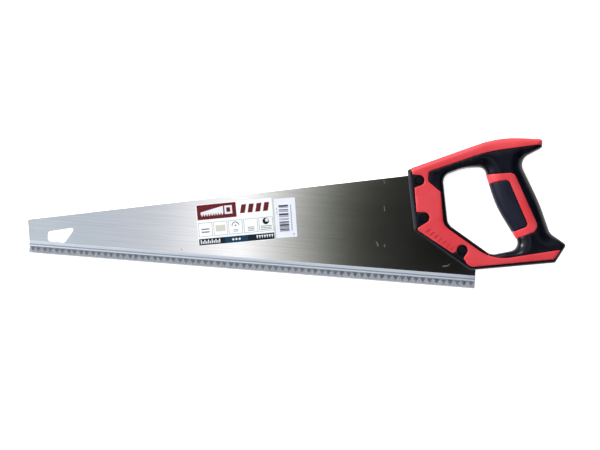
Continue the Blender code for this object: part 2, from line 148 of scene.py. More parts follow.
def start_finish(name, colour, roughness, metallic=0.0, specular=0.5):
    material = bpy.data.materials.new(name)
    material.use_nodes = True
    shader = material.node_tree.nodes["Principled BSDF"]
    shader.inputs["Base Color"].default_value = (*colour, 1.0)
    shader.inputs["Roughness"].default_value = roughness
    shader.inputs["Metallic"].default_value = metallic
    shader.inputs["Specular IOR Level"].default_value = specular
    return material, material.node_tree, shader


def ramp(tree, factor, low, high, stops):
    """A linear colour ramp over a range of its factor."""
    share = add_node(tree, "ShaderNodeMapRange", From_Min=low, From_Max=high)
    node = add_node(tree, "ShaderNodeValToRGB")
    elements = node.color_ramp.elements
    elements.remove(elements[0])
    elements[0].position = 0.0
    elements[0].color = (*stops[0][1], 1.0)
    for place, colour in stops[1:]:
        elements.new((place - low) / (high - low)).color = (*colour, 1.0)
    wire(tree, factor, share.inputs["Value"])
    wire(tree, share.outputs["Result"], node.inputs["Fac"])
    return node.outputs["Color"]


def build_dome():
    world = bpy.data.worlds.new("dome")
    world.use_nodes = True
    tree = world.node_tree
    background = tree.nodes["Background"]
    coordinates = add_node(tree, "ShaderNodeTexCoord")
    parts = add_node(tree, "ShaderNodeSeparateXYZ")
    wire(tree, coordinates.outputs["Generated"], parts.inputs[0])
    angle = fed(tree, "ShaderNodeMath", "ARCCOSINE", parts.outputs["Z"])
    bands = [(math.radians(degrees), colour) for degrees, colour in DOME_BANDS]
    light = ramp(tree, angle, 0.0, math.radians(DOME_RANGE), bands)
    for axis, shares in SIDE_SHARES.items():
        grey = [(place, (share, share, share)) for place, share in shares]
        side = ramp(tree, parts.outputs[axis], -1.0, 1.0, grey)
        light = fed(tree, "ShaderNodeVectorMath", "MULTIPLY", light, side)
    horizon = ramp(tree, parts.outputs["Z"], 0.0, 1.0, HORIZON_RING)
    light = fed(tree, "ShaderNodeVectorMath", "ADD", light, horizon)
    wire(tree, light, background.inputs["Color"])
    bpy.context.scene.world = world


def build_panel(name, azimuth, elevation, power):
    light = bpy.data.lights.new(name, "AREA")
    light.size = PANEL_SIZE
    light.energy = power
    panel = put(name, light)
    turn = Matrix.Rotation(math.radians(azimuth), 4, "Z")
    lean = Matrix.Rotation(math.radians(-elevation), 4, "Y")
    place = (turn @ lean) @ Vector((PANEL_DISTANCE, 0.0, 0.0)) + ORIGIN
    facing = (place - ORIGIN).to_track_quat("Z", "Y").to_matrix().to_4x4()
    panel.matrix_world = Matrix.Translation(place) @ facing


def build_camera():
    lens = bpy.data.cameras.new("camera")
    lens.lens = CAMERA_LENS
    camera = put("camera", lens)
    tilt = Matrix.Rotation(CAMERA_TILT, 4, "Y")
    roll = Matrix.Rotation(CAMERA_ROLL, 4, "Z")
    blade_low, blade_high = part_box("blade")
    heel = Vector((blade_high.x, blade_low.y, blade_high.z))
    camera.matrix_world = Matrix.Translation(heel + Vector(CAMERA_PLACE)) @ tilt @ roll
    bpy.context.scene.camera = camera


def build_table():
    material, tree, shader = start_finish("table_white", TABLE_COLOUR, 0.9, specular=0.0)
    shader.inputs["Emission Color"].default_value = (1.0, 1.0, 1.0, 1.0)
    shader.inputs["Emission Strength"].default_value = TABLE_GLOW
    half = TABLE_SIZE / 2
    guard_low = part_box("tooth_guard")[0]
    rest_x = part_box("cheek_overmould")[0].x + REST_INSET
    slope = guard_low.z / (rest_x - guard_low.x)
    mesh = bpy.data.meshes.new("table")
    square = [(-half, -half), (half, -half), (half, half), (-half, half)]
    corners = [(x, y, (rest_x - x) * slope - TABLE_GAP) for x, y in square]
    mesh.from_pydata(corners, [], [(0, 1, 2, 3)])
    mesh.materials.append(material)
    table = put("table", mesh)


build_dome()
for panel_row in PANELS:
    build_panel(*panel_row)
build_camera()
build_table()
bpy.context.scene.view_settings.view_transform = "Standard"


# ================ blade
# One sheet of hardened spring steel, ground and brushed lengthwise, with sixty-nine triangular
# teeth set left and right in turn, bevel-ground and darkened where they were hardened. Plan
# sizes are millimetres from the heel of the tooth line; the sheet's middle is Z = 0.

MM = 0.001
TEETH_PER_INCH = 3.5
TOOTH_COUNT = 69
TOOTH_DEPTH = 5.7
TOOTH_SET = 0.4
TOOTH_GRIND = 1.2
TOOTH_ROOT = 0.6
TIP_Y = 1.5
BLADE_THICKNESS = 1.0
TOE_HEIGHT = 35.3
TOE_LEAN = 4.6
TOE_RADIUS = 2.0
SPINE_FRONT = (-78.9, 114.0)
TANG_REACH = 50.0
TANG_RADIUS = 5.0
TANG_LINE = (-36.1 + 59.2j, 11.0 + 30.0j)
HANG_HOLE = [(21.3, 14.0, 3.5), (41.8, 14.0, 4.0), (53.0, 31.9, 2.0), (20.9, 25.0, 3.0)]
BARREL_BORE = 2.8
STEEL = (0.60, 0.60, 0.60)
STEEL_STREAKS = ((0.57, 0.57, 0.57), (0.63, 0.63, 0.63))
STEEL_ROUGHNESS = (0.055, 0.085)
SPOT_LEVELS = (0.77, 0.82)
SPOT_SHARE = 0.5
SCRATCHED_FROM = (-150.0, -110.0)
SCRATCH_PATCHES = (0.66, 0.72)
SCRATCH_WIDTH = 0.003
SCRATCH_ROUGHNESS = 0.2
STEEL_HARDENED = (0.11, 0.12, 0.135)
STEEL_SPOTS = (0.30, 0.29, 0.28)

TOOTH_PITCH = 25.4 / TEETH_PER_INCH
TOE_X = -TOOTH_COUNT * TOOTH_PITCH
GULLET_Y = TIP_Y + TOOTH_DEPTH
HALF_BLADE = BLADE_THICKNESS / 2
BLADE_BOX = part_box("blade")
PLAN_ORIGIN = Vector((
    BLADE_BOX[1].x,
    BLADE_BOX[0].y - TIP_Y * MM,
    (BLADE_BOX[0].z + BLADE_BOX[1].z) / 2,
))
ARC_STEP = math.radians(7.5)
CHORD = 2.2
STRAIGHT_TURN = 0.001


def centre_of(node):
    """A CAD node's middle in the plan, as a complex number of millimetres."""
    low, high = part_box(node)
    middle = ((low + high) / 2 - PLAN_ORIGIN) / MM
    return complex(middle.x, middle.y)


SCREW_CENTRES = [centre_of(f"saw_screw_{number}") for number in (1, 2, 3)]


def counter_clockwise(corners):
    following = corners[1:] + corners[:1]
    area = sum(a[0] * b[1] - b[0] * a[1] for a, b in zip(corners, following))
    return corners if area > 0 else corners[::-1]


def grow(corners, distance):
    """The outline with every side moved outwards, and its fillets kept concentric."""
    corners = counter_clockwise(corners)
    places = [complex(x, y) for x, y, radius in corners]
    moved = []
    for index, (x, y, radius) in enumerate(corners):
        side_in = places[index] - places[index - 1]
        side_out = places[(index + 1) % len(places)] - places[index]
        side_in /= abs(side_in)
        side_out /= abs(side_out)
        turn = side_in.conjugate() * side_out
        place = places[index] - 1j * (side_in + side_out) * distance / (1.0 + turn.real)
        change = distance if turn.imag > 0 else -distance
        moved.append((place.real, place.imag, max(radius + change, 0.0) if radius else 0.0))
    return moved


def rounded(corners, side_step=None):
    """The outline's points as complex numbers, with an arc at each filleted corner."""
    corners = counter_clockwise(corners)
    places = [complex(x, y) for x, y, radius in corners]
    points = []
    for index, (x, y, radius) in enumerate(corners):
        to_before = places[index - 1] - places[index]
        to_after = places[(index + 1) % len(places)] - places[index]
        turn = cmath.phase(to_after / to_before)
        half_turn = (math.pi - abs(turn)) / 2
        if radius == 0.0 or half_turn < STRAIGHT_TURN:
            points.append(places[index])
            continue
        reach = min(abs(to_before), abs(to_after)) * 0.49
        radius = min(radius, reach / math.tan(half_turn))
        ray = to_before / abs(to_before)
        bisector = ray + to_after / abs(to_after)
        start = places[index] + ray * radius * math.tan(half_turn)
        centre = places[index] + bisector / abs(bisector) * radius / math.cos(half_turn)
        sweep = -2 * half_turn if turn > 0 else 2 * half_turn
        steps = math.ceil(max(3, abs(sweep) / ARC_STEP, abs(sweep) * radius / CHORD))
        for step in range(steps + 1):
            points.append(centre + (start - centre) * cmath.rect(1.0, sweep * step / steps))
    return divided(points, side_step) if side_step else np.array(points)


def divided(points, side_step):
    """The same closed outline with no side longer than side_step."""
    result = []
    for index, point in enumerate(points):
        side = points[(index + 1) % len(points)] - point
        parts = max(1, math.ceil(abs(side) / side_step))
        result += [point + side * part / parts for part in range(parts)]
    return np.array(result)


def ring(centre, radius, sides):
    return np.array([centre + cmath.rect(radius, 2 * math.pi * k / sides) for k in range(sides)])


def triangulated(loops, inner, kept):
    """Plan points and triangles of the areas whose enclosing loops pass the test."""
    corners = []
    faces = []
    for loop in loops:
        faces.append(list(range(len(corners), len(corners) + len(loop))))
        corners += list(loop)
    corners += list(inner)
    flat = [Vector((p.real, p.imag)) for p in corners]
    found = delaunay_2d_cdt(flat, [], faces, 1, 1e-5, True)
    triangles = [tri for tri, within in zip(found[2], found[5]) if kept(set(within))]
    used = sorted({corner for tri in triangles for corner in tri})
    renumbered = {old: new for new, old in enumerate(used)}
    plan = np.array([complex(*found[0][old]) for old in used])
    return plan, [tuple(renumbered[corner] for corner in tri) for tri in triangles]


def outline_only(within):
    return within == {0}


def inside_border(within):
    return within == {0, 2}


def walled(plan, triangles, low, high):
    """Corners and faces of the closed solid between two heights over each plan point."""
    count = len(plan)
    corners = [(p.real, p.imag, z) for p, z in zip(plan, low)]
    corners += [(p.real, p.imag, z) for p, z in zip(plan, high)]
    faces = [(a + count, b + count, c + count) for a, b, c in triangles]
    faces += [(c, b, a) for a, b, c in triangles]
    sides = dict.fromkeys((tri[k - 1], tri[k]) for tri in triangles for k in range(3))
    faces += [(a, b, b + count, a + count) for a, b in sides if (b, a) not in sides]
    return corners, faces


def make_piece(name, corners, faces, material, sharp_degrees=35.0):
    """An object from plan millimetres, its place in its mesh."""
    mesh = bpy.data.meshes.new(name)
    places = [Vector(corner) * MM + PLAN_ORIGIN for corner in corners]
    mesh.from_pydata(places, [], faces)
    mesh.validate()
    mesh.materials.append(material)
    mesh.shade_smooth()
    mesh.set_sharp_from_angle(angle=math.radians(sharp_degrees))
    return put(name, mesh)


def plate(name, loops, low, high, material):
    """A flat sheet with the first loop outside and the others as holes."""
    plan, triangles = triangulated(loops, [], outline_only)
    heights = np.ones(len(plan))
    return make_piece(name, *walled(plan, triangles, heights * low, heights * high), material)


def combine(piece, operation, tool):
    modifier = piece.modifiers.new(tool.name, "BOOLEAN")
    modifier.operation = operation
    modifier.solver = "EXACT"
    modifier.object = tool


def settle(piece, sharp_degrees=35.0):
    """Makes the piece's modifiers part of its mesh and removes the tools they used."""
    tools = [m.object for m in piece.modifiers if m.type == "BOOLEAN"]
    graph = bpy.context.evaluated_depsgraph_get()
    mesh = bpy.data.meshes.new_from_object(piece.evaluated_get(graph))
    piece.modifiers.clear()
    piece.data = mesh
    mesh.shade_smooth()
    mesh.set_sharp_from_angle(angle=math.radians(sharp_degrees))
    for tool in tools:
        bpy.data.objects.remove(tool)
    return piece


def grain(tree, scale, stretch=(1.0, 1.0, 1.0), detail=2.0):
    """Noise on the piece's own coordinates, drawn out along an axis by its stretch."""
    coordinates = add_node(tree, "ShaderNodeTexCoord")
    mapping = add_node(tree, "ShaderNodeMapping", Scale=stretch)
    noise = add_node(tree, "ShaderNodeTexNoise", Scale=scale, Detail=detail)
    wire(tree, coordinates.outputs["Object"], mapping.inputs["Vector"])
    wire(tree, mapping.outputs["Vector"], noise.inputs["Vector"])
    return noise.outputs["Fac"]


def plan_share(tree, axis, start, end):
    """Nought to one between two plan places of the piece on one axis."""
    coordinates = add_node(tree, "ShaderNodeTexCoord")
    parts = add_node(tree, "ShaderNodeSeparateXYZ")
    wire(tree, coordinates.outputs["Object"], parts.inputs[0])
    low, high = (PLAN_ORIGIN["XYZ".index(axis)] + value * MM for value in (start, end))
    return ranged(tree, parts.outputs[axis], low, high, 0.0, 1.0)


def ranged(tree, value, from_low, from_high, to_low, to_high):
    node = add_node(tree, "ShaderNodeMapRange", From_Min=from_low, From_Max=from_high)
    node.inputs["To Min"].default_value = to_low
    node.inputs["To Max"].default_value = to_high
    wire(tree, value, node.inputs["Value"])
    return node.outputs["Result"]


def blended(tree, factor, first, second):
    """A colour between two, either of which may be a socket."""
    node = add_node(tree, "ShaderNodeMix", {"data_type": "RGBA"})
    wire(tree, factor, node.inputs["Factor"])
    for socket, colour in ((node.inputs[6], first), (node.inputs[7], second)):
        if isinstance(colour, tuple):
            socket.default_value = (*colour, 1.0)
        else:
            wire(tree, colour, socket)
    return node.outputs[2]


def clouded(tree, shader, clouds, colours, rough):
    """Base colour and roughness that drift between two values each with the clouds."""
    tone = blended(tree, ranged(tree, clouds, 0.35, 0.7, 0.0, 1.0), *colours)
    wire(tree, tone, shader.inputs["Base Color"])
    wire(tree, ranged(tree, clouds, 0.3, 0.7, *rough), shader.inputs["Roughness"])


def raise_grain(tree, shader, height, depth, strength=1.0):
    """Bump of a real depth in metres, on top of any bump the shader has already."""
    bump = add_node(tree, "ShaderNodeBump", Distance=depth, Strength=strength)
    wire(tree, height, bump.inputs["Height"])
    if shader.inputs["Normal"].is_linked:
        wire(tree, shader.inputs["Normal"].links[0].from_socket, bump.inputs["Normal"])
    wire(tree, bump.outputs["Normal"], shader.inputs["Normal"])


def scratched(tree, rough):
    """The roughness with a few fine curved scratches on the rear of the blade."""
    rear = plan_share(tree, "X", *SCRATCHED_FROM)
    patches = ranged(tree, grain(tree, 60.0, detail=0.0), *SCRATCH_PATCHES, 0.0, 1.0)
    lines = grain(tree, 34.0, detail=1.0)
    mark = fed(tree, "ShaderNodeMath", "COMPARE", lines, 0.5, SCRATCH_WIDTH)
    for share in (rear, patches):
        mark = fed(tree, "ShaderNodeMath", "MULTIPLY", mark, share)
    return fed(tree, "ShaderNodeMath", "MULTIPLY_ADD", mark, SCRATCH_ROUGHNESS, rough)


def brushed_steel():
    material, tree, shader = start_finish("brushed_steel", STEEL, 0.1, 1.0)
    streaks = grain(tree, 900.0, (0.02, 1.0, 1.0), 4.0)
    hairlines = grain(tree, 4000.0, (0.012, 1.0, 1.0), 2.0)
    clouds = grain(tree, 22.0, (0.5, 1.0, 1.0), 3.0)
    spots = ranged(tree, grain(tree, 260.0, detail=1.0), *SPOT_LEVELS, 0.0, SPOT_SHARE)
    tone = blended(tree, ranged(tree, streaks, 0.3, 0.7, 0.0, 1.0), *STEEL_STREAKS)
    tone = blended(tree, spots, tone, STEEL_SPOTS)
    hardened = plan_share(tree, "Y", GULLET_Y + 0.8, GULLET_Y - 1.6)
    wire(tree, blended(tree, hardened, tone, STEEL_HARDENED), shader.inputs["Base Color"])
    rough = ranged(tree, clouds, 0.3, 0.7, *STEEL_ROUGHNESS)
    wire(tree, scratched(tree, rough), shader.inputs["Roughness"])
    raise_grain(tree, shader, streaks, 0.00001, 0.08)
    raise_grain(tree, shader, hairlines, 0.000005, 0.1)
    return material


def spine_y(x):
    toe_x, toe_y = TOE_X - TOE_LEAN, TIP_Y + TOE_HEIGHT
    return toe_y + (SPINE_FRONT[1] - toe_y) * (x - toe_x) / (SPINE_FRONT[0] - toe_x)


def tang_y(x):
    """The blade's hidden end, on a slant below the hand opening."""
    start, end = TANG_LINE
    return start.imag + (end.imag - start.imag) * (x - start.real) / (end.real - start.real)


def blade_corners():
    return [
        (TOE_X, GULLET_Y, 0.0),
        (0.0, GULLET_Y, 0.0),
        (0.0, tang_y(0.0), TANG_RADIUS),
        (-TANG_REACH, tang_y(-TANG_REACH), TANG_RADIUS),
        (-TANG_REACH, spine_y(-TANG_REACH), TANG_RADIUS),
        (TOE_X - TOE_LEAN, TIP_Y + TOE_HEIGHT, TOE_RADIUS),
    ]


def one_tooth(material):
    """A tooth ground on both flanks, its sharp face leaning out to one side."""
    half, root = TOOTH_PITCH / 2, HALF_BLADE * 0.98
    tip = -TOOTH_DEPTH
    corners = [
        (-half, 0.0, -root), (half, 0.0, -root), (0.0, tip, -root - TOOTH_SET),
        (-half + TOOTH_GRIND, 0.0, root), (half - TOOTH_GRIND, 0.0, root),
        (0.0, tip * (1.0 - TOOTH_GRIND / half), root - TOOTH_SET * 0.7),
        (-half + TOOTH_ROOT, TOOTH_ROOT, -root), (half - TOOTH_ROOT, TOOTH_ROOT, -root),
        (half - TOOTH_GRIND - TOOTH_ROOT, TOOTH_ROOT, root),
        (-half + TOOTH_GRIND + TOOTH_ROOT, TOOTH_ROOT, root),
    ]
    faces = [
        (0, 2, 1), (3, 4, 5), (0, 3, 5, 2), (1, 2, 5, 4),
        (0, 1, 7, 6), (4, 3, 9, 8), (0, 6, 9, 3), (1, 4, 8, 7), (6, 7, 8, 9),
    ]
    mesh = bpy.data.meshes.new("tooth")
    mesh.from_pydata([Vector(corner) * MM for corner in corners], [], faces)
    mesh.materials.append(material)
    return put("tooth", mesh)


def copies_tree(name, own_inputs):
    """A tree that makes one mesh of copies on points, which are still to be wired."""
    tree = bpy.data.node_groups.new(name, "GeometryNodeTree")
    face = tree.interface
    face.new_socket("Geometry", in_out="OUTPUT", socket_type="NodeSocketGeometry")
    for label, kind in [*own_inputs, ("Copy", "Object"), ("Material", "Material")]:
        face.new_socket(label, in_out="INPUT", socket_type="NodeSocket" + kind)
    given = add_node(tree, "NodeGroupInput")
    result = add_node(tree, "NodeGroupOutput")
    copy = add_node(tree, "GeometryNodeObjectInfo")
    place = add_node(tree, "GeometryNodeInstanceOnPoints")
    real = add_node(tree, "GeometryNodeRealizeInstances")
    dressed = add_node(tree, "GeometryNodeSetMaterial")
    wire(tree, given.outputs["Copy"], copy.inputs["Object"])
    wire(tree, copy.outputs["Geometry"], place.inputs["Instance"])
    wire(tree, place.outputs["Instances"], real.inputs["Geometry"])
    wire(tree, real.outputs["Geometry"], dressed.inputs["Geometry"])
    wire(tree, given.outputs["Material"], dressed.inputs["Material"])
    wire(tree, dressed.outputs["Geometry"], result.inputs["Geometry"])
    return tree, given, place


def row_tree():
    """Copies of one piece along X, every second one turned over about its Y axis."""
    own_inputs = [("Count", "Int"), ("Start", "Vector"), ("Step", "Vector")]
    tree, given, place = copies_tree("row_of_copies", own_inputs)
    line = add_node(tree, "GeometryNodeMeshLine", {"mode": "OFFSET"})
    index = add_node(tree, "GeometryNodeInputIndex")
    angles = add_node(tree, "ShaderNodeCombineXYZ")
    odd = fed(tree, "ShaderNodeMath", "MODULO", index.outputs["Index"], 2.0)
    wire(tree, fed(tree, "ShaderNodeMath", "MULTIPLY", odd, math.pi), angles.inputs["Y"])
    wire(tree, given.outputs["Count"], line.inputs["Count"])
    wire(tree, given.outputs["Start"], line.inputs["Start Location"])
    wire(tree, given.outputs["Step"], line.inputs["Offset"])
    wire(tree, line.outputs["Mesh"], place.inputs["Points"])
    wire(tree, angles.outputs[0], place.inputs["Rotation"])
    return tree


def grown_by_nodes(name, tree, values, places=()):
    """The plain mesh that a tree makes from its named inputs and its carrier's points."""
    mesh = bpy.data.meshes.new(name)
    mesh.from_pydata(places, [], [])
    carrier = put(name, mesh)
    modifier = carrier.modifiers.new(name, "NODES")
    modifier.node_group = tree
    for socket in tree.interface.items_tree:
        if socket.in_out == "INPUT" and socket.name in values:
            modifier[socket.identifier] = values[socket.name]
    return settle(carrier)


def build_blade():
    steel = brushed_steel()
    tooth = one_tooth(steel)
    start = Vector((TOE_X + TOOTH_PITCH / 2, GULLET_Y, 0.0)) * MM + PLAN_ORIGIN
    teeth = grown_by_nodes("teeth", row_tree(), {
        "Copy": tooth, "Count": TOOTH_COUNT, "Start": start,
        "Step": (TOOTH_PITCH * MM, 0.0, 0.0), "Material": steel,
    })
    bpy.data.objects.remove(tooth)
    hang_hole = rounded([(TOE_X + x, y, radius) for x, y, radius in HANG_HOLE])
    bores = [ring(centre, BARREL_BORE, 32) for centre in SCREW_CENTRES]
    loops = [rounded(blade_corners()), hang_hole, *bores]
    blade = plate("saw_blade", loops, -HALF_BLADE, HALF_BLADE, steel)
    combine(blade, "UNION", teeth)
    settle(blade)
    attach(blade, "saw")
    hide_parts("blade")


build_blade()


# ================ tooth guard
# A clip-on channel of milky plastic, extruded in one length and cut square. A groove runs along
# its lips, which grip the blade, and the thinner hollow below lets the teeth show through as
# dark points.

GUARD_HEIGHT = 13.8
GUARD_WALL = 0.9
GUARD_TIP_GAP = 1.3
GUARD_OVERHANG = 0.3
GUARD_LIP_GAP = 0.3
GUARD_LIP_HEIGHT = 3.4
GUARD_GROOVE = (0.9, 0.45)
GUARD_MILK = (0.60, 0.64, 0.70)
# Painted shade: a darker colour for the guard's groove, standing in for the shade that falls in that
# recess.
GUARD_GROOVE_SHADE = (0.32, 0.35, 0.40)
GUARD_HOLLOW_TINT = (0.180, 0.205, 0.245)
GUARD_LIP_COVER = 0.72
GUARD_HOLLOW_COVER = 0.36
GROOVE_SHADE_MARGIN = 0.5
GUARD_FLOOR_Y = TIP_Y - GUARD_TIP_GAP
GUARD_BOTTOM_Y = GUARD_FLOOR_Y - GUARD_WALL
GUARD_TOP_Y = GUARD_BOTTOM_Y + GUARD_HEIGHT
GROOVE_TOP_Y = GUARD_TOP_Y - GUARD_LIP_HEIGHT
GROOVE_LOW_Y = GROOVE_TOP_Y - GUARD_GROOVE[0]


def milky_plastic():
    material, tree, shader = start_finish("milky_plastic", GUARD_MILK, 0.42)
    mist = grain(tree, 60.0, (0.2, 1.0, 1.0), 3.0)
    lines = grain(tree, 1600.0, (0.01, 1.0, 1.0), 2.0)
    lip = plan_share(tree, "Y", GULLET_Y - 0.6, GULLET_Y + 0.6)
    # Painted shade: the base colour darkens across the groove and a margin either side of it, as shade in
    # the recess.
    above = plan_share(tree, "Y", GROOVE_LOW_Y - GROOVE_SHADE_MARGIN, GROOVE_LOW_Y)
    below = plan_share(tree, "Y", GROOVE_TOP_Y + GROOVE_SHADE_MARGIN, GROOVE_TOP_Y)
    groove_shade = fed(tree, "ShaderNodeMath", "MULTIPLY", above, below)
    milk = blended(tree, lip, GUARD_HOLLOW_TINT, GUARD_MILK)
    milk = blended(tree, groove_shade, milk, GUARD_GROOVE_SHADE)
    wire(tree, milk, shader.inputs["Base Color"])
    cover = ranged(tree, lip, 0.0, 1.0, GUARD_HOLLOW_COVER, GUARD_LIP_COVER)
    wire(tree, cover, shader.inputs["Alpha"])
    wire(tree, ranged(tree, mist, 0.3, 0.7, 0.36, 0.5), shader.inputs["Roughness"])
    raise_grain(tree, shader, lines, 0.00003, 0.3)
    raise_grain(tree, shader, mist, 0.0002, 0.3)
    return material


def guard_profile():
    """The channel's section as (y, z) corners with fillets, from the lower lip round."""
    lip = HALF_BLADE + GUARD_LIP_GAP
    hollow = lip + TOOTH_SET
    lip_face = lip + GUARD_WALL
    outer = hollow + GUARD_WALL
    groove_z = lip_face - GUARD_GROOVE[1]
    hollow_y = GULLET_Y + 0.6
    half = [
        (GUARD_BOTTOM_Y, outer, 0.7),
        (hollow_y, outer, 0.6),
        (hollow_y + TOOTH_SET, lip_face, 0.3),
        (GROOVE_LOW_Y, lip_face, 0.25),
        (GROOVE_LOW_Y + 0.1, groove_z, 0.1),
        (GROOVE_TOP_Y - 0.1, groove_z, 0.1),
        (GROOVE_TOP_Y, lip_face, 0.25),
        (GUARD_TOP_Y, lip_face, 0.35),
        (GUARD_TOP_Y, lip, 0.2),
        (hollow_y + TOOTH_SET, lip, 0.2),
        (hollow_y, hollow, 0.2),
        (GUARD_FLOOR_Y, hollow, 0.3),
    ]
    return half + [(y, -z, radius) for y, z, radius in half[::-1]]


def build_guard():
    loop = rounded(guard_profile())
    plan, triangles = triangulated([loop], [], outline_only)
    x_start = TOE_X - GUARD_OVERHANG
    start = np.full(len(plan), x_start)
    end = np.full(len(plan), GUARD_OVERHANG)
    corners, faces = walled(plan, triangles, start, end)
    turned = [(x, y, z) for y, z, x in corners]
    guard = make_piece("guard_channel", turned, faces, milky_plastic(), 50.0)
    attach(guard, "guard")
    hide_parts("tooth_guard")


build_guard()


# ================ handle core
# The hard core of the closed handle, moulded in black polypropylene with a finely eroded skin.
# Its faces are flat on the cheeks and roll into a round grip; shallow pockets take the soft
# overmoulding, a slot takes the blade and three stepped bores take the barrel screws.

HALF_THICKNESS = 14.0
CHEEK_EDGE = 5.0
GRIP_EDGE = (15.0, 12.4)
POCKET_DEPTH = 1.9
FIT = 0.3
ROLL_RADIUS = 0.7
ROLL_STEPS = (0.1, 0.3, 0.65, 1.0)
SIDE_STEP = 2.4
EDGE_RINGS = 9
INNER_GRID = 4.0
RING_TOLERANCE = 0.97
LINE_CLEARANCE = 0.04
POINT_SPACING = 0.06
TOOL_REACH = 20.0
HANDLE_CORNERS = [
    (-78.9, 119.8, 3.0),
    (13.0, 159.4, 150.0),
    (57.8, 160.1, 3.0),
    (58.7, 151.8, 2.5),
    (35.8, 138.0, 12.0),
    (60.3, 94.4, 200.0),
    (73.3, 63.2, 12.0),
    (90.0, 52.5, 3.0),
    (79.9, 33.3, 2.5),
    (-5.7, 18.7, 10.0),
    (-67.1, 56.3, 2.5),
]
OPENING_CORNERS = [
    (-41.6, 116.3, 10.0),
    (-18.9, 126.8, 60.0),
    (1.1, 127.8, 7.5),
    (16.2, 88.3, 120.0),
    (46.6, 45.4, 9.0),
    (14.8, 36.1, 12.0),
    (-32.3, 65.2, 12.0),
]
GRIP_AXIS = (22.0 + 124.0j, 50.0 + 68.0j)
GRIP_BLEND = (20.0, 38.0)
BAND_CORNERS = [
    (-6.0, 118.6, 0.0),
    (31.8, 123.4, 6.0),
    (61.7, 66.0, 8.0),
    (28.0, 49.8, 0.0),
]
PAD_CORNERS = [
    (-2.0, 108.1, 0.0),
    (26.4, 115.7, 5.0),
    (49.8, 69.4, 3.5),
    (28.0, 58.5, 0.0),
]
HEAD_RADIUS = 3.7
HEAD_TOP = 13.4
HEAD_SEAT = 11.0
ISLAND_RADIUS = 5.7
CORE_BLACK = (0.0004, 0.0007, 0.0046)
CORE_WORN = (0.0012, 0.0016, 0.0062)


def distance_to(points, loop):
    """Each point's distance to a closed loop."""
    side = np.roll(loop, -1) - loop
    nearest = np.full(len(points), np.inf)
    for start, along in zip(loop, side):
        share = ((points - start) * along.conjugate()).real / abs(along) ** 2
        nearest = np.minimum(nearest, abs(points - start - along * share.clip(0.0, 1.0)))
    return nearest


def clear_of(points, loops):
    """Each point's distance to the nearer of the handle's two outlines."""
    return np.minimum(distance_to(points, loops[0]), distance_to(points, loops[1]))


def inside(points, loop):
    hits = np.zeros(len(points), bool)
    for a, b in zip(loop, np.roll(loop, -1)):
        if a.imag == b.imag:
            continue
        crosses = (a.imag > points.imag) != (b.imag > points.imag)
        at = a.real + (b.real - a.real) * (points.imag - a.imag) / (b.imag - a.imag)
        hits ^= crosses & (points.real < at)
    return hits


def grip_share(points):
    """One on the round grip, nought on the flat cheeks, smooth between them."""
    start, end = GRIP_AXIS
    along = ((points - start) * (end - start).conjugate()).real / abs(end - start) ** 2
    away = abs(points - start - (end - start) * along.clip(0.0, 1.0))
    near, far = GRIP_BLEND
    share = ((away - near) / (far - near)).clip(0.0, 1.0)
    return 1.0 - share * share * (3.0 - 2.0 * share)


def edge_size(points, depth):
    share = grip_share(points)
    width = CHEEK_EDGE + (GRIP_EDGE[0] - CHEEK_EDGE) * share
    height = CHEEK_EDGE + (GRIP_EDGE[1] - CHEEK_EDGE) * share
    return width - depth, height - depth


def handle_loops(depth):
    outline = rounded(grow(HANDLE_CORNERS, -depth), SIDE_STEP)
    return [outline, rounded(grow(OPENING_CORNERS, depth), SIDE_STEP)]


def half_height(points, loops, depth):
    """Height of the handle's rounded face above the middle plane."""
    width, height = edge_size(points, depth)
    distance = clear_of(points, loops)
    share = (distance / width).clip(0.0, 1.0)
    return HALF_THICKNESS - depth - height * (1.0 - np.sqrt(1.0 - (1.0 - share) ** 2))


def thinned(points, gap):
    """The points, in order, without those closer than gap to one kept already."""
    cells = {}
    kept = []
    for point in points:
        column, row = int(point.real // gap), int(point.imag // gap)
        near = [
            other
            for across in (-1, 0, 1)
            for up in (-1, 0, 1)
            for other in cells.get((column + across, row + up), ())
        ]
        if all(abs(point - other) >= gap for other in near):
            cells.setdefault((column, row), []).append(point)
            kept.append(point)
    return kept


def normals_of(loop):
    along = np.roll(loop, -1) - np.roll(loop, 1)
    return 1j * along / abs(along)


def inner_points(loops, depth, borders):
    """Plan points on the rolled borders, round the edges in rings, and on a wide grid."""
    rows = []
    for border in borders:
        normal = normals_of(border)
        for step in ROLL_STEPS:
            for side in (1.0, -1.0):
                row = border + normal * side * step * ROLL_RADIUS
                rows.append(row[distance_to(row, border) > RING_TOLERANCE * step * ROLL_RADIUS])
    turns = [0.5 * math.pi * ring_index / EDGE_RINGS for ring_index in range(1, EDGE_RINGS + 1)]
    for turn in turns:
        for loop, inward in ((loops[0], 1.0), (loops[1], -1.0)):
            reach = edge_size(loop, depth)[0] * (1.0 - math.cos(turn))
            row = loop + normals_of(loop) * inward * reach
            clear = clear_of(row, loops)
            rows.append(row[clear > RING_TOLERANCE * reach])
        places = np.array([complex(x, y) for x, y, radius in counter_clockwise(HANDLE_CORNERS)])
        for index, reach in enumerate(edge_size(places, depth)[0] * (1.0 - math.cos(turn))):
            x, y, radius = grow(HANDLE_CORNERS, -depth - reach)[index]
            mitre = np.array([complex(x, y)])
            rows.append(mitre[distance_to(mitre, loops[0]) > RING_TOLERANCE * reach])
    low = loops[0].real.min() + 1j * loops[0].imag.min()
    high = loops[0].real.max() + 1j * loops[0].imag.max()
    across = np.arange(low.real, high.real, INNER_GRID)
    up = np.arange(low.imag, high.imag, INNER_GRID)
    grid = (across[None, :] + 1j * up[:, None]).ravel()
    clear = clear_of(grid, loops)
    rows.append(grid[clear > edge_size(grid, depth)[0]])
    points = np.concatenate(rows)
    points = points[inside(points, loops[0]) & ~inside(points, loops[1])]
    clear = clear_of(points, loops)
    points = points[clear > LINE_CLEARANCE]
    for border in borders:
        points = points[distance_to(points, border) > LINE_CLEARANCE]
    return thinned(points, POINT_SPACING)


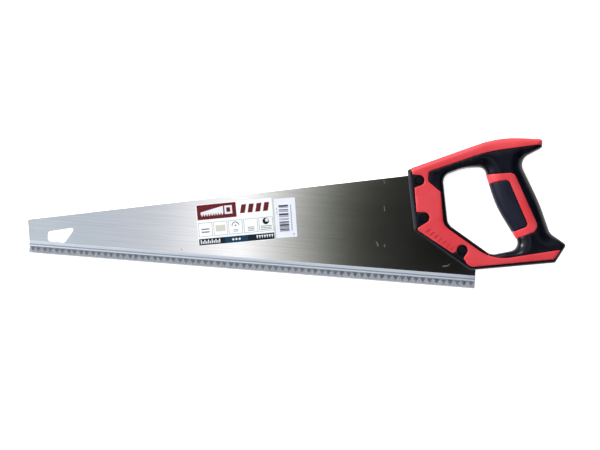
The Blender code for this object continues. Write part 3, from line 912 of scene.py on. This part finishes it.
def rolled(points, borders):
    """How far the face drops where it rolls over a moulded border."""
    drop = np.zeros(len(points))
    for border in borders:
        share = (distance_to(points, border) / ROLL_RADIUS).clip(0.0, 1.0)
        drop = np.maximum(drop, ROLL_RADIUS * (1.0 - np.sqrt(1.0 - (1.0 - share) ** 2)))
    return drop


def handle_solid(name, depth, borders, kept, material):
    """A closed solid of the handle's form over the kept areas, its borders rolled over."""
    loops = handle_loops(depth)
    rims = [divided(list(rounded(border)), SIDE_STEP) for border in borders]
    plan, triangles = triangulated(loops + rims, inner_points(loops, depth, rims), kept)
    height = half_height(plan, loops, depth) - rolled(plan, rims)
    return make_piece(name, *walled(plan, triangles, -height, height), material)


def arc_corners(centre, radius, start_degrees, end_degrees):
    steps = math.ceil(math.radians(abs(end_degrees - start_degrees)) / (2 * ARC_STEP))
    corners = []
    for step in range(steps + 1):
        angle = math.radians(start_degrees + (end_degrees - start_degrees) * step / steps)
        place = centre + cmath.rect(radius, angle)
        corners.append((place.real, place.imag, 0.0))
    return corners


def beside(centre, across, up, radius):
    return (centre.real + across, centre.imag + up, radius)


def cheek_corners():
    """Plan of the soft cheek: panel, top strip to the horn, and the stripe to the foot."""
    first, second, third = SCREW_CENTRES
    return [
        (66.0, 156.2, 0.0),
        (5.0, 144.3, 150.0),
        (-56.2, 119.0, 4.0),
        (-55.8, 108.8, 4.0),
        (-42.1, 98.6, 2.5),
        (-36.5, 63.6, 14.0),
        (16.8, 31.0, 45.0),
        (84.8, 47.2, 1.0),
        (78.3, 36.8, 1.0),
        (-7.0, 21.9, 9.0),
        beside(third, 2.0, -8.5, 1.5),
        *arc_corners(third, ISLAND_RADIUS, -40, 200),
        beside(third, -9.8, -3.8, 1.5),
        (-64.8, 57.6, 2.0),
        *arc_corners(second, ISLAND_RADIUS, -50, 95),
        beside(second, -8.2, 5.2, 1.2),
        beside(first, -4.2, -7.8, 1.2),
        *arc_corners(first, ISLAND_RADIUS, -70, 100),
        beside(first, -7.0, 5.6, 1.2),
        (-77.0, 126.0, 0.0),
        (-77.0, 134.0, 0.0),
        (12.0, 172.0, 0.0),
        (66.0, 172.0, 0.0),
    ]


def turned_solid(name, profile, centre, sides, material):
    """A solid of revolution about a Z axis; profile is (radius, z) from the low pole up."""
    corners = []
    rows = []
    for radius, z in profile:
        if radius == 0.0:
            rows.append([len(corners)] * sides)
            corners.append((centre.real, centre.imag, z))
            continue
        rows.append(list(range(len(corners), len(corners) + sides)))
        corners += [(p.real, p.imag, z) for p in ring(centre, radius, sides)]
    faces = []
    for low, high in zip(rows, rows[1:]):
        for side in range(sides):
            after = (side + 1) % sides
            loop = (low[side], low[after], high[after], high[side])
            faces.append(tuple(dict.fromkeys(loop)))
    return make_piece(name, corners, faces, material)


def screw_bore(number, centre, material):
    seat = HEAD_SEAT - FIT
    wide, narrow = HEAD_RADIUS + FIT, BARREL_BORE
    mouth, rim = wide + 0.5, HALF_THICKNESS - 0.5
    half = [(narrow, seat), (wide, seat), (wide, rim), (mouth, rim + 0.6), (mouth, TOOL_REACH)]
    below = [(0.0, -TOOL_REACH)] + [(r, -z) for r, z in half[::-1]]
    profile = below + half + [(0.0, TOOL_REACH)]
    return turned_solid(f"bore_{number}", profile, centre, 48, material)


def eroded_black(name, colour, worn, roughness, depth):
    material, tree, shader = start_finish(name, colour, roughness, specular=0.2)
    skin = grain(tree, 2600.0, detail=2.0)
    clouds = grain(tree, 45.0, detail=3.0)
    clouded(tree, shader, clouds, (colour, worn), (roughness - 0.05, roughness + 0.07))
    raise_grain(tree, shader, skin, depth, 0.6)
    return material


def build_core():
    black = eroded_black("core_black", CORE_BLACK, CORE_WORN, 0.24, 0.00002)
    borders = [grow(cheek_corners(), FIT), grow(BAND_CORNERS, FIT)]
    core = handle_solid("handle_body", 0.0, borders, outline_only, black)
    floor = handle_solid("pocket_floor", POCKET_DEPTH, [], outline_only, black)
    combine(core, "UNION", floor)
    slot_half = HALF_BLADE + FIT
    slot_loop = rounded(grow(blade_corners(), FIT))
    combine(core, "DIFFERENCE", plate("slot", [slot_loop], -slot_half, slot_half, black))
    for number, centre in enumerate(SCREW_CENTRES, start=1):
        combine(core, "DIFFERENCE", screw_bore(number, centre, black))
    settle(core)
    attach(core, "saw")
    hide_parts("handle_core")


build_core()


# ================ cheek overmould
# The red cheeks are thermoplastic rubber shot over the core: a panel between the screws, a
# strip up to the horn and a stripe down to the foot, standing slightly proud of the black. A
# row of slanted dashes is sunk in the lower diagonal.

PROUD = 0.4
SKIN_FLOOR = 1.3
RED = (0.69, 0.026, 0.036)
RED_DUSTY = (0.74, 0.048, 0.060)
DASH_COUNT = 7
DASH_START = -52.0 + 56.5j
DASH_END = -25.5 + 40.0j
DASH_SIZE = (2.2, 5.2)
DASH_DEPTH = 0.8


def soft_red():
    material, tree, shader = start_finish("soft_red", RED, 0.45)
    skin = grain(tree, 3200.0, detail=2.0)
    clouds = grain(tree, 30.0, detail=3.0)
    clouded(tree, shader, clouds, (RED, RED_DUSTY), (0.4, 0.52))
    raise_grain(tree, shader, skin, 0.00003, 0.6)
    return material


SOFT_RED = soft_red()


def overmould(name, borders, kept, material):
    """A soft skin over part of the core, hollow where the core's pocket floor is."""
    skin = handle_solid(name, -PROUD, borders, kept, material)
    floor = handle_solid(name + "_floor", SKIN_FLOOR, [], outline_only, material)
    combine(skin, "DIFFERENCE", floor)
    return skin


def dash(index, material):
    along = (DASH_END - DASH_START) / (DASH_COUNT - 1)
    centre = DASH_START + along * index
    turn = along / abs(along)
    wide, tall = DASH_SIZE[0] / 2, DASH_SIZE[1] / 2
    lean = wide * 0.8
    low_side = [(-wide - lean, -tall), (wide - lean, -tall)]
    high_side = [(wide + lean, tall), (-wide + lean, tall)]
    corners = []
    for across, up in low_side + high_side:
        place = centre + complex(across, up) * turn
        corners.append((place.real, place.imag, 0.5))
    top = HALF_THICKNESS + PROUD
    return plate(f"dash_{index}", [rounded(corners)], top - DASH_DEPTH, top + 1.0, material)


def build_cheeks():
    cheeks = overmould("cheek_rubber", [cheek_corners()], inside_border, SOFT_RED)
    for index in range(DASH_COUNT):
        combine(cheeks, "DIFFERENCE", dash(index, SOFT_RED))
    settle(cheeks)
    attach(cheeks, "saw")
    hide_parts("cheek_overmould")


build_cheeks()


# ================ grip band and finger pad
# A red band frames the fingers' side of the grip, in the same rubber as the cheeks, and inside
# it sits a pad of softer black rubber. Both wrap round the grip's inner edge.

PAD_BLACK = (0.0042, 0.0050, 0.0150)
PAD_WORN = (0.0070, 0.0080, 0.0190)


def build_grip_band():
    borders = [BAND_CORNERS, grow(PAD_CORNERS, FIT)]
    band = overmould("band_rubber", borders, inside_border, SOFT_RED)
    settle(band)
    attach(band, "saw")
    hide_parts("grip_band")


def build_finger_pad():
    rubber = eroded_black("pad_black", PAD_BLACK, PAD_WORN, 0.36, 0.00003)
    pad = overmould("pad_rubber", [PAD_CORNERS], inside_border, rubber)
    settle(pad)
    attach(pad, "saw")
    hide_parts("finger_pad")


build_grip_band()
build_finger_pad()


# ================ barrel screws and sleeve nuts
# Three black-oxide steel screws with hexagon sockets run through handle and blade into sleeve
# nuts whose heads show on the far side in the same way.

HEAD_EDGE = 0.5
SHANK_RADIUS = 1.5
SHANK_END = -9.0
BARREL_RADIUS = 2.5
BARREL_END = 9.4
SOCKET_RADIUS = 1.75
SOCKET_DEPTH = 1.4
OXIDE = (0.0035, 0.0038, 0.0055)
OXIDE_RUBBED = (0.012, 0.012, 0.015)


def black_oxide():
    material, tree, shader = start_finish("black_oxide", OXIDE, 0.3, 0.2, 0.15)
    rubbed = ranged(tree, grain(tree, 500.0, detail=3.0), 0.52, 0.75, 0.0, 1.0)
    wire(tree, blended(tree, rubbed, OXIDE, OXIDE_RUBBED), shader.inputs["Base Color"])
    wire(tree, ranged(tree, rubbed, 0.0, 1.0, 0.38, 0.26), shader.inputs["Roughness"])
    raise_grain(tree, shader, grain(tree, 1800.0), 0.00002, 0.4)
    return material


def head_profile():
    """The screw head's side from its seat up and over its rounded edge."""
    turns = [0.5 * math.pi * step / 4 for step in range(5)]
    edge = [
        (HEAD_RADIUS - HEAD_EDGE * (1.0 - math.cos(t)), HEAD_TOP - HEAD_EDGE * (1.0 - math.sin(t)))
        for t in turns
    ]
    return [(HEAD_RADIUS, HEAD_SEAT)] + edge


def hexagon_cut(low, high, material):
    return plate("socket", [ring(0j, SOCKET_RADIUS, 6)], low, high, material)


def centred(piece):
    """Moves a piece's mesh to be copied so that the copies' places are its origin's."""
    piece.data.transform(Matrix.Translation(-PLAN_ORIGIN))
    return piece


def places_tree():
    """Copies of one piece at each point of the carrier's mesh."""
    tree, given, place = copies_tree("copies_at_places", [("Geometry", "Geometry")])
    wire(tree, given.outputs["Geometry"], place.inputs["Points"])
    return tree


def copied_at_screws(name, piece, tree, material):
    """The piece three times, in the three bores, as one mesh."""
    places = [Vector((c.real, c.imag, 0.0)) * MM + PLAN_ORIGIN for c in SCREW_CENTRES]
    carrier = grown_by_nodes(name, tree, {"Copy": piece, "Material": material}, places)
    bpy.data.objects.remove(piece)
    return carrier


def build_screws():
    steel = black_oxide()
    tree = places_tree()
    head = head_profile()
    shank = [(0.0, SHANK_END), (SHANK_RADIUS - 0.2, SHANK_END), (SHANK_RADIUS, SHANK_END + 0.2)]
    profile = shank + [(SHANK_RADIUS, HEAD_SEAT)] + head + [(0.0, HEAD_TOP)]
    screw = turned_solid("screw", profile, 0j, 48, steel)
    combine(screw, "DIFFERENCE", hexagon_cut(HEAD_TOP - SOCKET_DEPTH, TOOL_REACH, steel))
    screws = copied_at_screws("barrel_screws", centred(settle(screw)), tree, steel)
    bore = SHANK_RADIUS + FIT
    barrel = [(BARREL_RADIUS, -HEAD_SEAT), (BARREL_RADIUS, BARREL_END), (bore, BARREL_END)]
    inner = [(bore, SHANK_END - FIT), (0.0, SHANK_END - FIT)]
    profile = [(0.0, -HEAD_TOP)] + [(r, -z) for r, z in head[::-1]] + barrel + inner
    nut = turned_solid("nut", profile, 0j, 48, steel)
    combine(nut, "DIFFERENCE", hexagon_cut(-TOOL_REACH, SOCKET_DEPTH - HEAD_TOP, steel))
    nuts = copied_at_screws("sleeve_nuts", centred(settle(nut)), tree, steel)
    for piece, stem in ((screws, "saw_screw"), (nuts, "sleeve_nut")):
        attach(piece, "saw")
        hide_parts(*(f"{stem}_{number}" for number in (1, 2, 3)))


build_screws()


# ================ main label
# A printed film stuck flat on the blade. A maroon block with a plain white saw picture, slanted
# bars, a row of framed pictograms and a navy bar with ticks and dots stand where the maker's
# print would be; each ink is a separate thin layer on the film.

LABEL_TILT = math.radians(9.4)
INK_LIFT = 0.02
INK_THICKNESS = 0.03
FILM_WHITE = (0.90, 0.90, 0.89)
MAROON = (0.13, 0.012, 0.016)
NAVY = (0.004, 0.012, 0.022)
TEAL = (0.008, 0.040, 0.075)
PRINT_BLACK = (0.012, 0.012, 0.013)
PRINT_GREY = (0.16, 0.16, 0.17)
BOARD_BEIGE = (0.62, 0.60, 0.50)
PRINT_WHITE = (0.78, 0.78, 0.78)


def film_finish(name, colour, roughness):
    material, tree, shader = start_finish(name, colour, roughness, specular=0.12)
    shade = tuple(value * 0.94 for value in colour)
    clouds = grain(tree, 70.0, detail=3.0)
    clouded(tree, shader, clouds, (colour, shade), (roughness - 0.05, roughness + 0.1))
    raise_grain(tree, shader, grain(tree, 180.0, detail=2.0), 0.00006, 0.3)
    return material


def bar(left, low, right, high):
    return [complex(left, low), complex(right, low), complex(right, high), complex(left, high)]


def framed(left, low, right, high, line):
    """Four thin bars round a box."""
    return [
        bar(left, low, right, low + line),
        bar(left, high - line, right, high),
        bar(left, low + line, left + line, high - line),
        bar(right - line, low + line, right, high - line),
    ]


def slanted(left, low, wide, tall, lean):
    loop = bar(left, low, left + wide, low + tall)
    return loop[:2] + [corner + lean for corner in loop[2:]]


def point_down(left, top, wide, tall):
    return [complex(left, top), complex(left + wide / 2, top - tall), complex(left + wide, top)]


def saw_picture(left, low, wide, tall):
    """A plain saw in profile: a tapering blade over a row of points, and a ring handle."""
    blade_end = left + wide * 0.72
    edge = low + tall * 0.30
    blade = bar(left, edge, blade_end, low + tall)
    blade[3] = complex(left, edge + tall * 0.22)
    shapes = [blade]
    pitch = (blade_end - left) / 9
    shapes += [point_down(left + pitch * k + 0.1, edge - 0.1, pitch - 0.2, tall * 0.24) for k in range(9)]
    grip_left, grip_low = blade_end + wide * 0.04, low + tall * 0.12
    shapes += framed(grip_left, grip_low, left + wide, low + tall, wide * 0.06)
    return shapes


def arc_band(centre, inner, outer, start_degrees, end_degrees):
    turns = [math.radians(start_degrees + (end_degrees - start_degrees) * k / 16) for k in range(17)]
    outside = [centre + cmath.rect(outer, turn) for turn in turns]
    return outside + [centre + cmath.rect(inner, turn) for turn in turns[::-1]]


def print_layer(name, shapes, film, centre, tilt, layer, colour):
    """One ink on a film: thin closed plates at the layer's height above its face."""
    material = film_finish(name, colour, 0.34)
    film_top = (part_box(film)[1].z - PLAN_ORIGIN.z) / MM
    low = film_top + INK_LIFT + layer * (INK_LIFT + INK_THICKNESS)
    corners = []
    faces = []
    for shape in shapes:
        loop = [centre + point * cmath.rect(1.0, tilt) for point in shape]
        plan, triangles = triangulated([loop], [], outline_only)
        heights = np.full(len(plan), low)
        more_corners, more_faces = walled(plan, triangles, heights, heights + INK_THICKNESS)
        faces += [tuple(corner + len(corners) for corner in face) for face in more_faces]
        corners += more_corners
    ink = make_piece(name, corners, faces, material)
    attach(ink, "saw")


def dress_film(node, name, colour):
    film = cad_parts[node]
    film.data.materials.clear()
    film.data.materials.append(film_finish(name, colour, 0.3))


def label_shapes():
    """The label's shapes by ink, in millimetres from its centre."""
    box_low, box_high, box_wide, gap = -12.9, 2.4, 15.6, 1.5
    lefts = [-41.8 + index * (box_wide + gap) for index in range(5)]
    maroon = [bar(-42.0, 5.8, 2.4, 22.2)]
    maroon += [slanted(6.4 + 8.6 * k, 9.2, 5.4, 9.4, 2.4) for k in range(4)]
    white = saw_picture(-38.0, 8.6, 36.0, 10.6)
    navy = [bar(-42.4, -22.2, -13.0, -15.2), bar(13.0, -22.2, 42.6, -15.2)]
    teal = [bar(-13.0, -22.2, 13.0, -15.2)]
    grey = []
    for left in lefts:
        grey += framed(left, box_low, left + box_wide, box_high, 0.35)
    grey += [bar(lefts[0] + 3.2, y, lefts[0] + 12.2, y + 1.3) for y in (-5.4, -8.6)]
    grey += [bar(lefts[2] + 5.0, y, lefts[2] + 10.4, y + 0.6) for y in (-8.6, -10.2)]
    grey += [bar(lefts[3] + 4.4, y, lefts[3] + 11.4, y + 0.7) for y in (-7.4, -9.2, -11.0)]
    grey += [bar(lefts[4] + 1.6, y, lefts[4] + 14.0, y + 0.7) for y in (-7.6, -9.4, -11.2)]
    beige = [bar(lefts[1] + 2.4, -8.4, lefts[1] + 13.2, -1.6)]
    gauge = complex(lefts[2] + 7.8, -3.6)
    black = [arc_band(gauge, 3.4, 4.2, 0, 180), list(ring(gauge, 0.8, 16))]
    mark = complex(lefts[4] + 7.8, -1.9)
    black += [list(ring(mark, 3.6, 24))]
    ticks = [bar(-40.6 + 2.1 * k, -20.8, -39.4 + 2.1 * k, -16.4 - 1.6 * (k % 2)) for k in range(11)]
    ticks += [list(ring(complex(-3.6 + 3.6 * k, -18.7), 1.2, 12)) for k in range(3)]
    ticks += [point_down(22.4 + 2.8 * k, -16.8, 2.3, 3.8) for k in range(7)]
    white += [list(ring(mark + 1.2 + 1.0j, 1.9, 16))]
    return maroon, white, navy, teal, grey, beige, black, ticks


def build_label():
    dress_film("main_label", "film_white", FILM_WHITE)
    maroon, white, navy, teal, grey, beige, black, ticks = label_shapes()
    inks = [
        ("ink_maroon", maroon, 0, MAROON),
        ("ink_navy", navy, 0, NAVY),
        ("ink_teal", teal, 0, TEAL),
        ("ink_grey", grey, 0, PRINT_GREY),
        ("ink_beige", beige, 0, BOARD_BEIGE),
        ("ink_black", black, 0, PRINT_BLACK),
        ("ink_white", white + ticks, 1, PRINT_WHITE),
    ]
    for name, shapes, layer, colour in inks:
        print_layer(name, shapes, "main_label", centre_of("main_label"), LABEL_TILT, layer, colour)


build_label()


# ================ barcode sticker
# A smaller paper sticker beside the label, pale lavender, with dark bars of uneven width that
# carry no meaning between two fine columns of dashes.

BARCODE_TILT = math.radians(8.0)
STICKER_PAPER = (0.80, 0.82, 0.89)
BARS_BLACK = (0.055, 0.060, 0.085)
BARCODE_SEED = 7


def barcode_shapes():
    chance = random.Random(BARCODE_SEED)
    bars = []
    y = -14.6
    while y < 13.4:
        thickness = chance.choice((0.5, 0.5, 0.9, 1.4, 2.1))
        bars.append(bar(-7.0, y, 3.6, y + thickness))
        y += thickness + chance.choice((0.5, 0.5, 0.9, 1.6))
    dashes = [bar(6.0, -14.0 + 1.9 * k, 7.0, -13.0 + 1.9 * k) for k in range(15)]
    dashes += [bar(-9.4, 4.0 + 0.9 * k, -8.9, 4.5 + 0.9 * k) for k in range(9)]
    dashes += [bar(7.4, -18.6, 9.2, -17.8)]
    return bars + dashes


def build_barcode():
    dress_film("barcode_label", "sticker_paper", STICKER_PAPER)
    centre = centre_of("barcode_label")
    print_layer("barcode_ink", barcode_shapes(), "barcode_label", centre, BARCODE_TILT, 0, BARS_BLACK)


build_barcode()
